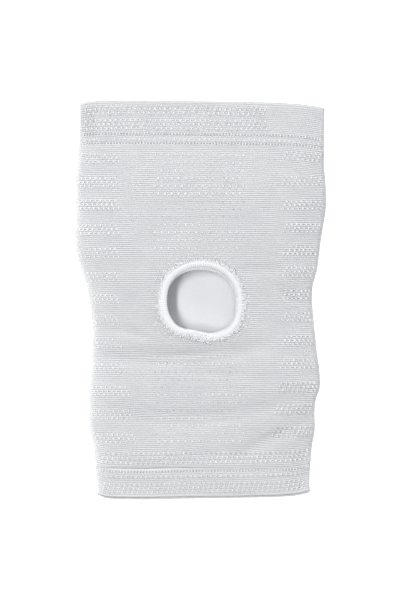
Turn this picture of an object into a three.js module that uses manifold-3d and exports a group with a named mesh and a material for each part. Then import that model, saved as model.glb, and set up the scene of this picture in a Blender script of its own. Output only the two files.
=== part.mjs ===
// Volleyball knee pad: an elastic knitted sleeve with a foam pad inside its front, lying flat
// on that front with the round hole of its back wall up.
// Millimetres. +X is to the right as seen from above, +Y runs to the thigh end, +Z is up.
// The origin lies on the surface below the middle of the whole.
import * as THREE from "three";
import { mergeVertices } from "three/addons/utils/BufferGeometryUtils.js";
import Module from "manifold-3d";

// Driving dimensions of the sleeve, lying flat.
const length = 240;
const thighWidth = 151;
const kneeWidth = 134;
const calfWidth = 137;
const knitWall = 1.8;
const hemWall = 2.8;
const thighHemDepth = 25.5;
const calfHemDepth = 18.5;
// The layers sink in by this much at a hem's seam, over this length.
const seamSink = 0.6;
const seamLength = 2.4;
const mouthGap = 7;
const mouthLift = 2.5;
const legGap = 10;
const backDome = 1.6;
const underCorner = 9;
const backCorner = 26;
const mouthCorner = 11;
// The under corner is at most this many times as wide as it is high.
const lowestCorner = 1.6;
// The height of the widest place, as a share of the section's height.
const sideShare = 0.42;

// Driving dimensions of the hole in the back wall and its overlocked binding.
const holeWide = 41;
const holeHigh = 38.6;
const holeX = 0.7;
const holeY = -0.9;
const bindingWidth = 4.1;
const bindingHeight = 3.6;
// The outline's exponent: 2 is an ellipse, and more is squarer.
const holeSquareness = 2.25;
// The lump where the thread ends: its turn from +X, its spread and how much thicker it is.
const lump = { turn: -0.47 * Math.PI, spread: 0.17, swell: 0.28 };

// Driving dimensions of the foam pad and its cloth lining.
const padWide = 106;
const padHigh = 148;
const padThick = 12;
const padRim = 3.5;
const padSquareness = 2.6;
// The flat face below stops short of the rim, at this share of the way out.
const padFoot = 0.965;
const liningWall = 1;
const liningEase = 3;

// The number of straight sides that draw the pad's outline.
const padSpokes = 32;

// The clearance between two pieces that touch.
const clearance = 0.3;

const widths = { thigh: thighWidth, knee: kneeWidth, calf: calfWidth };
const padFloor = knitWall + clearance;
const liningTop = padFloor + padThick + clearance + liningWall;
const middleTop = liningTop + legGap + knitWall;
const mouthTop = mouthLift + 2 * hemWall + mouthGap;

// Outline and height from the calf end to the thigh end. at is a share of the length, left and
// right are shares of the width that the row follows, rise goes from 0 at the height of the
// mouth to 1 at the height over the pad, and lift from 0 on the surface to 1 at the mouth.
const sections = [
  { at: -0.5, of: "calf", left: 0.45, right: 0.481, rise: 0, lift: 1 },
  { at: -0.46, of: "calf", left: 0.456, right: 0.483, rise: 0.1, lift: 0.62 },
  { at: -0.415, of: "calf", left: 0.465, right: 0.487, rise: 0.26, lift: 0.22 },
  { at: -0.37, of: "calf", left: 0.469, right: 0.494, rise: 0.45, lift: 0.04 },
  { at: -0.325, of: "calf", left: 0.487, right: 0.505, rise: 0.62, lift: 0 },
  { at: -0.28, of: "calf", left: 0.491, right: 0.505, rise: 0.76, lift: 0 },
  { at: -0.25, of: "calf", left: 0.491, right: 0.511, rise: 0.83, lift: 0 },
  { at: -0.22, of: "calf", left: 0.491, right: 0.527, rise: 0.89, lift: 0 },
  { at: -0.175, of: "knee", left: 0.493, right: 0.538, rise: 0.95, lift: 0 },
  { at: -0.13, of: "knee", left: 0.489, right: 0.527, rise: 0.98, lift: 0 },
  { at: -0.085, of: "knee", left: 0.484, right: 0.518, rise: 1, lift: 0 },
  { at: -0.04, of: "knee", left: 0.489, right: 0.509, rise: 1, lift: 0 },
  { at: 0.005, of: "knee", left: 0.502, right: 0.505, rise: 1, lift: 0 },
  { at: 0.035, of: "knee", left: 0.511, right: 0.507, rise: 1, lift: 0 },
  { at: 0.08, of: "thigh", left: 0.477, right: 0.468, rise: 0.99, lift: 0 },
  { at: 0.125, of: "thigh", left: 0.497, right: 0.478, rise: 0.97, lift: 0 },
  { at: 0.17, of: "thigh", left: 0.501, right: 0.488, rise: 0.93, lift: 0 },
  { at: 0.215, of: "thigh", left: 0.497, right: 0.5, rise: 0.87, lift: 0 },
  { at: 0.26, of: "thigh", left: 0.497, right: 0.504, rise: 0.78, lift: 0 },
  { at: 0.305, of: "thigh", left: 0.497, right: 0.5, rise: 0.66, lift: 0 },
  { at: 0.35, of: "thigh", left: 0.489, right: 0.494, rise: 0.5, lift: 0.04 },
  { at: 0.3925, of: "thigh", left: 0.485, right: 0.496, rise: 0.33, lift: 0.22 },
  { at: 0.44, of: "thigh", left: 0.483, right: 0.496, rise: 0.15, lift: 0.58 },
  { at: 0.5, of: "thigh", left: 0.481, right: 0.496, rise: 0, lift: 1 },
];

// How far the two end edges fall short across the width: at goes from -1 on the left edge to 1
// on the right edge, and thigh and calf are shares of the length.
const endEdges = [
  { at: -1, thigh: 0.0075, calf: 0.01 },
  { at: -0.92, thigh: 0.003, calf: 0.003 },
  { at: -0.8, thigh: 0.0012, calf: 0.001 },
  { at: -0.55, thigh: 0, calf: 0 },
  { at: -0.2, thigh: 0.001, calf: 0.002 },
  { at: 0.3, thigh: 0.003, calf: 0.004 },
  { at: 0.65, thigh: 0.006, calf: 0.006 },
  { at: 0.85, thigh: 0.011, calf: 0.009 },
  { at: 1, thigh: 0.019, calf: 0.017 },
];
// The stretch, as a share of the length, over which an end edge's shortfall fades out.
const endFade = 0.3;

// Valleys of the back wall. along, bow and tilt place one's middle line and breadth is half its
// width there, as shares of the length; across and reach are its middle and its half length, as
// shares of the knee's width; depth is a share of the height of the hollow over the pad.
const folds = [
  { along: -0.128, bow: 0.018, tilt: 0.012, across: -0.01, reach: 0.37, breadth: 0.019, depth: 0.2 },
  { along: -0.273, bow: 0.03, tilt: 0.014, across: -0.02, reach: 0.42, breadth: 0.023, depth: 0.15 },
  { along: -0.31, bow: 0, tilt: 0.05, across: 0.34, reach: 0.17, breadth: 0.016, depth: 0.1 },
  { along: -0.376, bow: 0, tilt: 0, across: 0.02, reach: 0.19, breadth: 0.013, depth: 0.07 },
  { along: 0.088, bow: 0, tilt: 0.004, across: 0.26, reach: 0.11, breadth: 0.013, depth: 0.09 },
  { along: -0.06, bow: 0, tilt: -0.01, across: -0.31, reach: 0.1, breadth: 0.016, depth: 0.1 },
  { along: 0.02, bow: 0, tilt: -0.02, across: 0.45, reach: 0.08, breadth: 0.02, depth: 0.12 },
];

const smooth = (t) => t * t * (3 - 2 * t);
const clamped = (t) => Math.min(Math.max(t, 0), 1);

// The value of one column of a table, on a smooth curve through its rows.
function follow(rows, column, at) {
  const last = rows.length - 1;
  if (at <= rows[0].at) return rows[0][column];
  if (at >= rows[last].at) return rows[last][column];
  const next = rows.findIndex((row) => row.at > at);
  const slope = (i) => {
    const before = rows[Math.max(i - 1, 0)];
    const after = rows[Math.min(i + 1, last)];
    return (after[column] - before[column]) / (after.at - before.at);
  };
  const from = rows[next - 1];
  const to = rows[next];
  const span = to.at - from.at;
  const t = (at - from.at) / span;
  const bend = (1 - t) * slope(next - 1) - t * slope(next);
  const chord = (to[column] - from[column]) / span;
  return (
    from[column] +
    span * t * chord +
    span * t * (1 - t) * (bend + (2 * t - 1) * chord)
  );
}

// The named widths turn the outline's shares into millimetres.
const outline = sections.map((row) => ({
  at: row.at,
  left: row.left * widths[row.of],
  right: row.right * widths[row.of],
  top: mouthTop + row.rise * (middleTop - mouthTop),
  under: row.lift * mouthLift,
  corner: mouthCorner + row.rise * (backCorner - mouthCorner),
}));

// The shape of the section at a share of the length.
function sectionAt(at) {
  const column = (name) => follow(outline, name, at);
  const under = Math.max(column("under"), 0);
  const top = column("top");
  return {
    left: -column("left"),
    right: column("right"),
    top,
    under,
    corner: column("corner"),
    side: under + sideShare * (top - under),
  };
}

// How deep the folds press the back wall in at a point.
function foldDepth(x, y) {
  return folds.reduce((sum, fold) => {
    const u = (x / kneeWidth - fold.across) / fold.reach;
    if (Math.abs(u) >= 1) return sum;
    const line = fold.along + fold.bow * u * u + fold.tilt * u;
    const v = (y / length - line) / fold.breadth;
    const ends = smooth(1 - Math.abs(u));
    return sum + fold.depth * legGap * ends ** 0.6 * Math.exp(-v * v);
  }, 0);
}

// The height of the back wall's outer surface at a point away from its rounded sides.
function backHeight(x, y, section) {
  const half = x < 0 ? section.left : section.right;
  const dome = backDome * (Math.cos((Math.PI / 2) * clamped(x / half)) ** 2 - 1);
  return section.top + dome;
}

// The stretches of a section's outline, anticlockwise from the middle of its under side, each
// with the number of steps that it is drawn in.
const stretches = [
  { part: "underRight", steps: 3 },
  { part: "lowRight", steps: 4 },
  { part: "highRight", steps: 7 },
  { part: "back", steps: 14 },
  { part: "highLeft", steps: 7 },
  { part: "lowLeft", steps: 4 },
  { part: "underLeft", steps: 3 },
];
const around = stretches.flatMap(({ part, steps }) =>
  Array.from({ length: steps }, (_, i) => ({ part, t: i / steps })),
);

// A point of the sleeve's outer surface, at a share of the length and a place around.
function outerPoint(at, { part, t }) {
  const s = sectionAt(at);
  const right = part.endsWith("Right");
  const edge = right ? s.right : s.left;
  const sign = right ? 1 : -1;
  const low = Math.min(underCorner, lowestCorner * (s.side - s.under));
  let x;
  let z = s.side;
  let share = 0;
  if (part.startsWith("under")) {
    const reach = edge - sign * low;
    x = reach * (right ? t : 1 - t);
    z = s.under;
  } else if (part.startsWith("low")) {
    const turn = (Math.PI / 2) * (right ? t : 1 - t);
    x = edge - sign * low * (1 - Math.sin(turn));
    z = s.side - (s.side - s.under) * Math.cos(turn);
  } else if (part.startsWith("high")) {
    const turn = (Math.PI / 2) * (right ? t : 1 - t);
    x = edge - sign * s.corner * (1 - Math.cos(turn));
    share = Math.sin(turn);
  } else {
    x = THREE.MathUtils.lerp(s.right - s.corner, s.left + s.corner, t);
    share = 1;
  }
  const half = x < 0 ? -s.left : s.right;
  const u = x / half;
  const end = at < 0 ? "calf" : "thigh";
  const fade = smooth(clamped(1 - (0.5 - Math.abs(at)) / endFade));
  const short = follow(endEdges, end, u) * length * fade;
  const y = at * length - Math.sign(at) * short;
  if (share > 0) {
    const crown = backHeight(x, y, s) - foldDepth(x, y) * share;
    z = s.side + (crown - s.side) * share;
  }
  return new THREE.Vector3(x, y, z);
}

// The same point moved inwards, square to the outline of its section.
function insetPoint(at, place, inset) {
  const point = outerPoint(at, place);
  if (inset === 0) return point;
  const step = 0.02;
  const before = outerPoint(at, shifted(place, -step));
  const after = outerPoint(at, shifted(place, step));
  const run = after.sub(before).setY(0).normalize();
  return point.add(new THREE.Vector3(-run.z, 0, run.x).multiplyScalar(inset));
}

// A place a little further round the outline.
function shifted({ part, t }, step) {
  const count = stretches.length;
  const index = stretches.findIndex((stretch) => stretch.part === part);
  const moved = t + step;
  if (moved < 0) return { part: stretches[(index + count - 1) % count].part, t: 1 + moved };
  if (moved > 1) return { part: stretches[(index + 1) % count].part, t: moved - 1 };
  return { part, t: moved };
}

// A closed surface through rings of points: the rings follow each other and the last one joins
// the first, or else flat or pointed ends close them.
function ringsGeometry(rings, closed) {
  const count = rings[0].length;
  const position = rings.flat().flatMap((p) => [p.x, p.y, p.z]);
  const index = [];
  const lastRing = closed ? rings.length : rings.length - 1;
  for (let i = 0; i < lastRing; i += 1) {
    const a = i * count;
    const b = ((i + 1) % rings.length) * count;
    for (let j = 0; j < count; j += 1) {
      const k = (j + 1) % count;
      index.push(a + j, b + k, a + k, a + j, b + j, b + k);
    }
  }
  const geometry = new THREE.BufferGeometry();
  geometry.setAttribute("position", new THREE.Float32BufferAttribute(position, 3));
  geometry.setIndex(index);
  return mergeVertices(geometry, 1e-4);
}

// A tube of knit between two shares of the length. stations are its sections, each with the
// share of the length and how far its outer and inner surfaces lie inside the outline.
function tubeGeometry(stations) {
  const ring = (at, inset) => around.map((place) => insetPoint(at, place, inset));
  const outer = stations.map(({ at, outer: inset }) => ring(at, inset));
  const inner = stations.map(({ at, inner: inset }) => ring(at, inset)).reverse();
  return ringsGeometry([...outer, ...inner], true);
}

const wasm = await Module();
wasm.setup();

function solidOf(geometry) {
  const bare = geometry.clone();
  bare.deleteAttribute("normal");
  bare.deleteAttribute("uv");
  const merged = mergeVertices(bare, 1e-4);
  return new wasm.Manifold(
    new wasm.Mesh({
      numProp: 3,
      vertProperties: merged.attributes.position.array,
      triVerts: new Uint32Array(merged.index.array),
    }),
  );
}

function geometryOf(solid) {
  const mesh = solid.getMesh();
  const geometry = new THREE.BufferGeometry();
  geometry.setAttribute("position", new THREE.BufferAttribute(mesh.vertProperties, 3));
  geometry.setIndex(new THREE.BufferAttribute(mesh.triVerts, 1));
  return geometry;
}

// The rounded outline of the hole, grown by a distance.
function holePoint(turn, grown) {
  const round = 2 / holeSquareness;
  const wide = Math.sign(Math.cos(turn)) * Math.abs(Math.cos(turn)) ** round;
  const high = Math.sign(Math.sin(turn)) * Math.abs(Math.sin(turn)) ** round;
  return new THREE.Vector2(
    holeX + (holeWide / 2 + grown) * wide,
    holeY + (holeHigh / 2 + grown) * high,
  );
}

// The knitted tube between the hems, with the hole cut through its back wall.
function sleeveGeometry() {
  const stationCount = 37;
  const from = -0.5 + (calfHemDepth + clearance / 2) / length;
  const to = 0.5 - (thighHemDepth + clearance / 2) / length;
  const rise = seamLength / length;
  const station = (at, outer) => ({ at, outer, inner: knitWall });
  const middle = Array.from({ length: stationCount }, (_, i) =>
    station(THREE.MathUtils.lerp(from + rise, to - rise, i / (stationCount - 1)), 0),
  );
  const stations = [station(from, seamSink), ...middle, station(to, seamSink)];
  const holeSides = 40;
  const holeShape = new THREE.Shape(
    Array.from({ length: holeSides }, (_, i) =>
      holePoint((i / holeSides) * 2 * Math.PI, bindingWidth + clearance),
    ),
  );
  const cutter = new THREE.ExtrudeGeometry(holeShape, {
    depth: middleTop,
    bevelEnabled: false,
  }).translate(0, 0, liningTop + legGap / 2);
  return geometryOf(solidOf(tubeGeometry(stations)).subtract(solidOf(cutter)));
}

// A double layer of knit from a seam to the mouth, where it turns round a folded edge.
function hemGeometry(sign, depth) {
  const radius = hemWall / 2;
  const foldTurns = [0, 0.4, 0.83].map((share) => (share * Math.PI) / 2);
  const rows = [
    { inward: depth - clearance / 2, outer: seamSink, inner: hemWall },
    { inward: depth - seamLength, outer: 0, inner: hemWall },
    { inward: depth / 2, outer: 0, inner: hemWall },
    ...foldTurns.map((turn) => ({
      inward: radius * (1 - Math.sin(turn)),
      outer: radius * (1 - Math.cos(turn)),
      inner: hemWall - radius * (1 - Math.cos(turn)),
    })),
  ];
  const stations = rows.map(({ inward, outer, inner }) => ({
    at: sign * (0.5 - inward / length),
    outer,
    inner,
  }));
  return tubeGeometry(sign > 0 ? stations : stations.reverse());
}

// The overlocked ring that closes the cut edge of the hole, thicker where its thread ends.
function bindingGeometry() {
  const turns = 44;
  const sides = 10;
  const rings = Array.from({ length: turns }, (_, i) => {
    const turn = (i / turns) * 2 * Math.PI;
    const middle = holePoint(turn, bindingWidth / 2);
    const outward = holePoint(turn, bindingWidth).sub(holePoint(turn, 0)).normalize();
    const section = sectionAt(middle.y / length);
    const depth = foldDepth(middle.x, middle.y);
    const z = backHeight(middle.x, middle.y, section) - depth - knitWall / 2;
    const apart = turn - lump.turn;
    const away = Math.atan2(Math.sin(apart), Math.cos(apart)) / lump.spread;
    const swell = 1 + lump.swell * Math.exp(-away * away);
    return Array.from({ length: sides }, (_, j) => {
      const angle = (j / sides) * 2 * Math.PI;
      const radial = (bindingWidth / 2) * Math.cos(angle);
      const up = (bindingHeight / 2) * swell * Math.sin(angle);
      return new THREE.Vector3(
        middle.x + outward.x * radial,
        middle.y + outward.y * radial,
        z + up,
      );
    });
  });
  return ringsGeometry(rings, true);
}

// The foam pad and its lining have a rounded outline, reached at a turn and a share of the way
// out from the middle.
function padPoint(turn, share, grown, z) {
  const round = 2 / padSquareness;
  const wide = Math.sign(Math.cos(turn)) * Math.abs(Math.cos(turn)) ** round;
  const high = Math.sign(Math.sin(turn)) * Math.abs(Math.sin(turn)) ** round;
  return new THREE.Vector3(
    share * (padWide / 2 + grown) * wide,
    share * (padHigh / 2 + grown) * high,
    z,
  );
}

// A ring of the pad's outline on the front wall, at a share of the way out.
function floorRing(share, grown) {
  return Array.from({ length: padSpokes }, (_, j) =>
    padPoint((j / padSpokes) * 2 * Math.PI, share, grown, padFloor),
  );
}

// The rings of a domed surface, from its middle out to its rim.
function domeRings(grown, height, rim) {
  const shares = [0, 0.3, 0.55, 0.75, 0.88, 0.96, 1];
  return shares.map((share) => {
    const z = padFloor + rim + (height - rim) * (1 - share ** 4) ** 0.6;
    return Array.from({ length: padSpokes }, (_, j) =>
      padPoint((j / padSpokes) * 2 * Math.PI, share, grown, z),
    );
  });
}

// A moulded foam pad, flat below, domed above, with a rounded rim.
function padGeometry() {
  const dome = domeRings(0, padThick, padRim);
  return ringsGeometry([...dome, floorRing(padFoot, 0), floorRing(0, 0)], false);
}

// A thin cloth drawn over the pad and sewn down around its rim.
function liningGeometry() {
  const under = clearance;
  const over = clearance + liningWall;
  const below = domeRings(liningEase, padThick + under, padRim + under);
  const above = domeRings(liningEase + liningWall, padThick + over, padRim + over);
  const foot = [floorRing(1, liningEase + liningWall), floorRing(1, liningEase)];
  return ringsGeometry([...above, ...foot, ...below.reverse()], false);
}

const knit = { color: 0xdcdde0, roughness: 0.9, metalness: 0 };
const thread = { color: 0xf4f7fa, roughness: 0.75, metalness: 0 };
const foam = { color: 0xd6d5cf, roughness: 0.95, metalness: 0 };
const lining = { color: 0xe4e4ea, roughness: 0.85, metalness: 0 };

function piece(name, geometry, finish) {
  const mesh = new THREE.Mesh(geometry, new THREE.MeshStandardMaterial(finish));
  mesh.name = name;
  return mesh;
}

const kneePad = new THREE.Group();
kneePad.add(
  piece("sleeve", sleeveGeometry(), knit),
  piece("thigh_hem", hemGeometry(1, thighHemDepth), knit),
  piece("calf_hem", hemGeometry(-1, calfHemDepth), knit),
  piece("hole_binding", bindingGeometry(), thread),
  piece("pad", padGeometry(), foam),
  piece("pad_lining", liningGeometry(), lining),
);

export default kneePad;
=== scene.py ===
import bpy
import numpy as np
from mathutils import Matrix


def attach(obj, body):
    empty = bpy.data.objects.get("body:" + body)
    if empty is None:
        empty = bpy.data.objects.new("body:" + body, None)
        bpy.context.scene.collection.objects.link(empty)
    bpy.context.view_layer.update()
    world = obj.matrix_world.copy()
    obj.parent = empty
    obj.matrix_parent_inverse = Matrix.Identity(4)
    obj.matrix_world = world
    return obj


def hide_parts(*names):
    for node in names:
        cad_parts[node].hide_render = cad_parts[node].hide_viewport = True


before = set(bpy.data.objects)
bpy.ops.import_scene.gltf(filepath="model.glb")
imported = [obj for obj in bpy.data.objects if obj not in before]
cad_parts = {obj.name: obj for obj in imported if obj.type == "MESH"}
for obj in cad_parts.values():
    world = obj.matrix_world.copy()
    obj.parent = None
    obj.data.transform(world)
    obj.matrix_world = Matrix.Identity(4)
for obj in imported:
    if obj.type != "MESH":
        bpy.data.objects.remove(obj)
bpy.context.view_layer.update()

# The sleeve is one tube of white elastic rib knit, knitted round in courses from the calf to
# the thigh. It lies on its padded front, so the round hole of its back wall faces up.

length = 0.240
thigh_width = 0.151
knee_width = 0.134
calf_width = 0.137
knit_wall = 0.0018
hem_wall = 0.0028
thigh_hem_depth = 0.0255
calf_hem_depth = 0.0185
seam_sink = 0.0006
seam_length = 0.0024
mouth_gap = 0.007
mouth_lift = 0.0025
leg_gap = 0.010
back_dome = 0.0016
under_corner = 0.009
back_corner = 0.026
mouth_corner = 0.011
lowest_corner = 1.6
side_share = 0.42
lining_top = 0.0154
middle_top = lining_top + leg_gap + knit_wall
mouth_top = mouth_lift + 2 * hem_wall + mouth_gap

# The courses of the knit are this far apart, and each is this deep from ridge to furrow.
course_pitch = 0.0012
course_depth = 0.00034
wale_pitch = 0.0014
rows_per_course = 4
# The hidden inner face has a row of points for every so many of the outer one.
inner_step = 12
# The sides are plain where they turn down this steeply, as the height of a unit square to them.
plain_side = 0.52
plain_blend = 0.2
# The relief fades out over so many courses at the ends of each piece.
calm_courses = 4


def table(columns, *rows):
    """A short table as one array for each named column."""
    return dict(zip(columns.split(), np.array(rows, float).T))


sections = table(
    "at width left right rise lift",
    (-0.5, calf_width, 0.45, 0.481, 0, 1),
    (-0.46, calf_width, 0.456, 0.483, 0.1, 0.62),
    (-0.415, calf_width, 0.465, 0.487, 0.26, 0.22),
    (-0.37, calf_width, 0.469, 0.494, 0.45, 0.04),
    (-0.325, calf_width, 0.487, 0.505, 0.62, 0),
    (-0.28, calf_width, 0.491, 0.505, 0.76, 0),
    (-0.25, calf_width, 0.491, 0.511, 0.83, 0),
    (-0.22, calf_width, 0.491, 0.527, 0.89, 0),
    (-0.175, knee_width, 0.493, 0.538, 0.95, 0),
    (-0.13, knee_width, 0.489, 0.527, 0.98, 0),
    (-0.085, knee_width, 0.484, 0.518, 1, 0),
    (-0.04, knee_width, 0.489, 0.509, 1, 0),
    (0.005, knee_width, 0.502, 0.505, 1, 0),
    (0.035, knee_width, 0.511, 0.507, 1, 0),
    (0.08, thigh_width, 0.477, 0.468, 0.99, 0),
    (0.125, thigh_width, 0.497, 0.478, 0.97, 0),
    (0.17, thigh_width, 0.501, 0.488, 0.93, 0),
    (0.215, thigh_width, 0.497, 0.5, 0.87, 0),
    (0.26, thigh_width, 0.497, 0.504, 0.78, 0),
    (0.305, thigh_width, 0.497, 0.5, 0.66, 0),
    (0.35, thigh_width, 0.489, 0.494, 0.5, 0.04),
    (0.3925, thigh_width, 0.485, 0.496, 0.33, 0.22),
    (0.44, thigh_width, 0.483, 0.496, 0.15, 0.58),
    (0.5, thigh_width, 0.481, 0.496, 0, 1),
)
outline = {
    "at": sections["at"],
    "left": -sections["left"] * sections["width"],
    "right": sections["right"] * sections["width"],
    "top": mouth_top + sections["rise"] * (middle_top - mouth_top),
    "under": sections["lift"] * mouth_lift,
    "corner": mouth_corner + sections["rise"] * (back_corner - mouth_corner),
}

# How far the two end edges fall short across the width, as shares of the length.
end_edges = table(
    "at thigh calf",
    (-1, 0.0075, 0.01),
    (-0.92, 0.003, 0.003),
    (-0.8, 0.0012, 0.001),
    (-0.55, 0, 0),
    (-0.2, 0.001, 0.002),
    (0.3, 0.003, 0.004),
    (0.65, 0.006, 0.006),
    (0.85, 0.011, 0.009),
    (1, 0.019, 0.017),
)
end_fade = 0.3

# Valleys of the back wall. The first seven are those of the solid, deeper and nearer the calf,
# and the others are of the cloth alone. The last one is the furrow of the calf hem's seam.
folds = table(
    "along bow tilt across reach breadth depth",
    (-0.1425, 0.018, 0.012, -0.09, 0.42, 0.0185, 0.62),
    (-0.295, 0.036, 0.01, -0.02, 0.45, 0.02, 0.52),
    (-0.346, 0, 0.055, 0.32, 0.2, 0.017, 0.4),
    (-0.385, 0, 0, 0.02, 0.19, 0.013, 0.12),
    (0.075, 0, 0.004, 0.27, 0.12, 0.013, 0.17),
    (-0.076, 0, -0.02, -0.35, 0.14, 0.014, 0.2),
    (0.008, 0, -0.03, 0.42, 0.1, 0.013, 0.42),
    (-0.17, 0.012, 0.01, -0.08, 0.38, 0.035, 0.12),
    (-0.32, 0.036, 0.01, -0.02, 0.42, 0.035, 0.08),
    (0.125, 0, 0, 0.5, 0.08, 0.08, 0.25),
    (-0.26, 0, 0, 0.49, 0.07, 0.05, 0.12),
    (-0.43, 0, 0, 0.48, 0.09, 0.06, 0.28),
    (-0.19, 0.01, -0.01, 0.12, 0.3, 0.012, 0.05),
    (0.24, -0.012, 0.008, -0.1, 0.3, 0.018, 0.04),
    (0.375, 0.004, 0, 0, 0.42, 0.01, 0.05),
    (-0.46, 0, 0, -0.28, 0.2, 0.014, 0.09),
    (-0.462, 0, 0, 0.04, 0.08, 0.012, 0.05),
    (-0.4245, 0, 0, 0, 0.62, 0.0035, 0.1),
)


def smooth(t):
    return t * t * (3 - 2 * t)


def ramp(t):
    """From 0 to 1 on a smooth curve, and level before and after it."""
    return smooth(np.clip(t, 0, 1))


def unit(vectors):
    return vectors / np.linalg.norm(vectors, axis=-1, keepdims=True)


def seam_dip(away):
    """How far the cloth is drawn in by a hem's seam, this far away from it."""
    return seam_sink * ramp(1 - away / seam_length)


def rib_depth(course):
    """How far the knit lies in below its ridges, which are narrower than its furrows."""
    return course_depth * (np.sin(np.pi * course) ** 2) ** 1.47


def follow(rows, column, at):
    """One column of a table, on a smooth curve through its rows."""
    places, values = rows["at"], rows[column]
    last = len(places) - 1
    row = np.arange(last + 1)
    before, after = np.maximum(row - 1, 0), np.minimum(row + 1, last)
    slope = (values[after] - values[before]) / (places[after] - places[before])
    low = np.clip(np.searchsorted(places, at, "right") - 1, 0, last - 1)
    span = places[low + 1] - places[low]
    t = np.clip((at - places[low]) / span, 0, 1)
    chord = (values[low + 1] - values[low]) / span
    bend = (1 - t) * slope[low] - t * slope[low + 1]
    return values[low] + span * t * (chord + (1 - t) * (bend + (2 * t - 1) * chord))


def section_at(at):
    """The measures of the section at each share of the length."""
    s = {name: follow(outline, name, at) for name in outline if name != "at"}
    s["under"] = np.maximum(s["under"], 0)
    s["side"] = s["under"] + side_share * (s["top"] - s["under"])
    s["low"] = np.minimum(under_corner, lowest_corner * (s["side"] - s["under"]))
    return s


def fold_depth(x, y):
    total = 0
    for along, bow, tilt, across, reach, breadth, depth in zip(*folds.values()):
        u = np.clip((x / knee_width - across) / reach, -1, 1)
        v = (y / length - (along + bow * u * u + tilt * u)) / breadth
        total = total + depth * leg_gap * smooth(1 - abs(u)) ** 0.5 * np.exp(-v * v)
    return total


def back_height(x, y, s):
    half = np.where(x < 0, s["left"], s["right"])
    arch = np.cos(np.pi / 2 * np.clip(x / half, 0, 1)) ** 2 - 1
    return s["top"] + back_dome * arch


def skin_column(at, s, part, t):
    """One column of points of the outer surface, at a place round its sections."""
    right = part.endswith("right")
    edge, sign = (s["right"], 1) if right else (s["left"], -1)
    turn = np.pi / 2 * (t if right else 1 - t)
    share = 0
    z = s["side"]
    if part.startswith("under"):
        x = (edge - sign * s["low"]) * (t if right else 1 - t)
        z = s["under"]
    elif part.startswith("low"):
        x = edge - sign * s["low"] * (1 - np.sin(turn))
        z = s["side"] - (s["side"] - s["under"]) * np.cos(turn)
    elif part.startswith("high"):
        x = edge - sign * s["corner"] * (1 - np.cos(turn))
        share = np.sin(turn)
    else:
        first, last = s["right"] - s["corner"], s["left"] + s["corner"]
        x = first + (last - first) * t
        share = 1
    u = x / np.where(x < 0, -s["left"], s["right"])
    fade = ramp(1 - (0.5 - abs(at)) / end_fade)
    calf, thigh = follow(end_edges, "calf", u), follow(end_edges, "thigh", u)
    y = at * length - np.sign(at) * np.where(at < 0, calf, thigh) * length * fade
    crown = back_height(x, y, s) - fold_depth(x, y) * share
    z = z + (crown - z) * share
    return np.stack([x, y, z], axis=1)


stretches = [
    ("under_right", 11),
    ("low_right", 5),
    ("high_right", 14),
    ("back", 72),
    ("high_left", 14),
    ("low_left", 5),
    ("under_left", 11),
]


def skin(at):
    """The lying sleeve's outer surface, as a row of points for each share of the length."""
    s = section_at(at)
    columns = [
        skin_column(at, s, part, i / steps) for part, steps in stretches for i in range(steps)
    ]
    return np.stack(columns, axis=1)


def outward(points):
    """The direction square to a surface whose rows close round the leg."""
    along = np.gradient(points, axis=0)
    around = np.roll(points, -1, axis=1) - np.roll(points, 1, axis=1)
    return unit(np.cross(along, around))


# The rounded hole in the middle of the back wall.
hole_wide = 0.041
hole_high = 0.0386
hole_middle = np.array([0.0007, -0.0009])
hole_squareness = 2.25
# How far the bound edge is let out or drawn in, and how wide the binding lies on the knit, at
# each turn in degrees and in millimetres. It is drawn in where its thread starts and ends.
hole_shape = table(
    "at out wide",
    (-180, 0, 4.2),
    (-165, -0.25, 4.2),
    (-150, -0.45, 4.0),
    (-135, -0.4, 3.6),
    (-120, -1.2, 3.6),
    (-105, -2.1, 3.4),
    (-90, -1.35, 4.8),
    (-75, 0.1, 4.0),
    (-60, 1.1, 3.4),
    (-45, 1.7, 3.3),
    (-30, 1.6, 3.3),
    (-15, 1.2, 3.2),
    (0, 1.0, 3.2),
    (30, 0.66, 3.2),
    (60, 0.85, 3.4),
    (90, 1.35, 3.5),
    (120, 0.7, 3.7),
    (150, 0.25, 4.1),
    (180, 0, 4.2),
)
cut_inset = 0.0018
binding_reach = 0.0045


def round_from(turn, start):
    """The angle from one turn to another, by the short way round."""
    return (turn - start + np.pi) % (2 * np.pi) - np.pi


def hole_measure(column, turn):
    return follow(hole_shape, column, np.degrees(round_from(turn, 0))) / 1000


def hole_edge(turn, grown):
    """Points of the hole's bound edge, grown by a distance."""
    grown = grown + hole_measure("out", turn)
    reach = np.array([hole_wide, hole_high]) / 2 + np.expand_dims(grown, -1)
    way = np.stack([np.cos(turn), np.sin(turn)], axis=-1)
    return hole_middle + reach * np.sign(way) * abs(way) ** (2 / hole_squareness)


def past_hole(x, y):
    """How far a point lies outside the binding of the hole, roughly."""
    reach = np.array([hole_wide, hole_high]) / 2 + binding_reach
    far = (abs((x - hole_middle[0]) / reach[0]) ** hole_squareness
           + abs((y - hole_middle[1]) / reach[1]) ** hole_squareness)
    return (far ** (1 / hole_squareness) - 1) * reach.mean()


# Bands of tucked stitches cross the two sides, at these places along the length.
left_bands = np.array([85.2, 70.8, 57.3, 42.3, 28.4, 14.1, 0.6, -12, -25.8, -40.8, -54.6,
                       -68.9, -83.1]) / 1000
right_bands = np.array([87.6, 72, 57, 43.2, 29.8, 17.1, 3.3, -10.2, -24.2, -38.4, -52, -65.6,
                        -79.4]) / 1000
band_breadth = 0.0036
band_swell = 0.0001
# The close-stitched panel down the middle ends, and the sides start, at these distances from
# the middle line.
panel_half = 0.0275
side_start = 0.048
panel_blend = 0.004
pucker_depth = 0.00015
pucker_reach = 0.005
puckers = 27
side_blend = 0.008
cloth_wave = 0.00012
floor_clear = 0.006


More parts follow.
